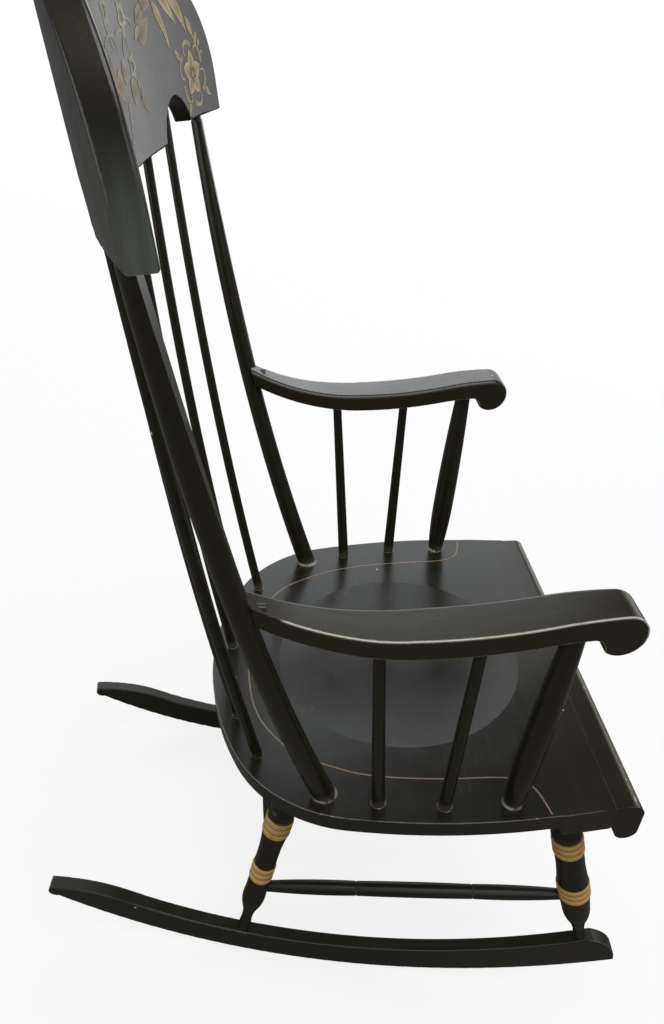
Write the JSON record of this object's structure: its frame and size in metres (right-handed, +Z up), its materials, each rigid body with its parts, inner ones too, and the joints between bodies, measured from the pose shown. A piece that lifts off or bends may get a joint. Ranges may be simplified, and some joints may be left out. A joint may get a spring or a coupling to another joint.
{
  "type": "boston rocking chair",
  "caption": "High-backed wooden rocking chair with a rolled plank seat, bent back posts and spindles, a bowed notched crest rail, scrolled arms, turned legs and curved rockers.",
  "frame": {"origin": "middle of the footprint, on the floor", "axes": "+Z up, -Y the way the sitter faces, +X to the sitter's left"},
  "size_m": [0.64, 0.83, 1.0247],
  "materials": {
    "seat_paint": "satin black paint, worn",
    "frame_paint": "satin black paint, worn at the joints",
    "crest_paint": "satin black paint with a stencil in dull gold",
    "base_paint": "satin black paint with gold bands"
  },
  "bodies": {
    "root": {"seat": "seat_paint", "front_roll": "seat_paint", "crest_rail": "crest_paint", "back_post_left": "frame_paint", "arm_left": "frame_paint", "arm_post_left": "frame_paint", "arm_spindle_front_left": "frame_paint", "arm_spindle_rear_left": "frame_paint", "rocker_left": "base_paint", "leg_front_left": "base_paint", "leg_rear_left": "base_paint", "side_stretcher_left": "base_paint", "back_post_right": "frame_paint", "arm_right": "frame_paint", "arm_post_right": "frame_paint", "arm_spindle_front_right": "frame_paint", "arm_spindle_rear_right": "frame_paint", "rocker_right": "base_paint", "leg_front_right": "base_paint", "leg_rear_right": "base_paint", "side_stretcher_right": "base_paint", "back_spindle_1": "frame_paint", "back_spindle_2": "frame_paint", "back_spindle_3": "frame_paint", "back_spindle_4": "frame_paint", "back_spindle_5": "frame_paint", "back_spindle_6": "frame_paint", "rear_stretcher": "base_paint", "front_stretcher": "base_paint"}
  },
  "joints": []
}
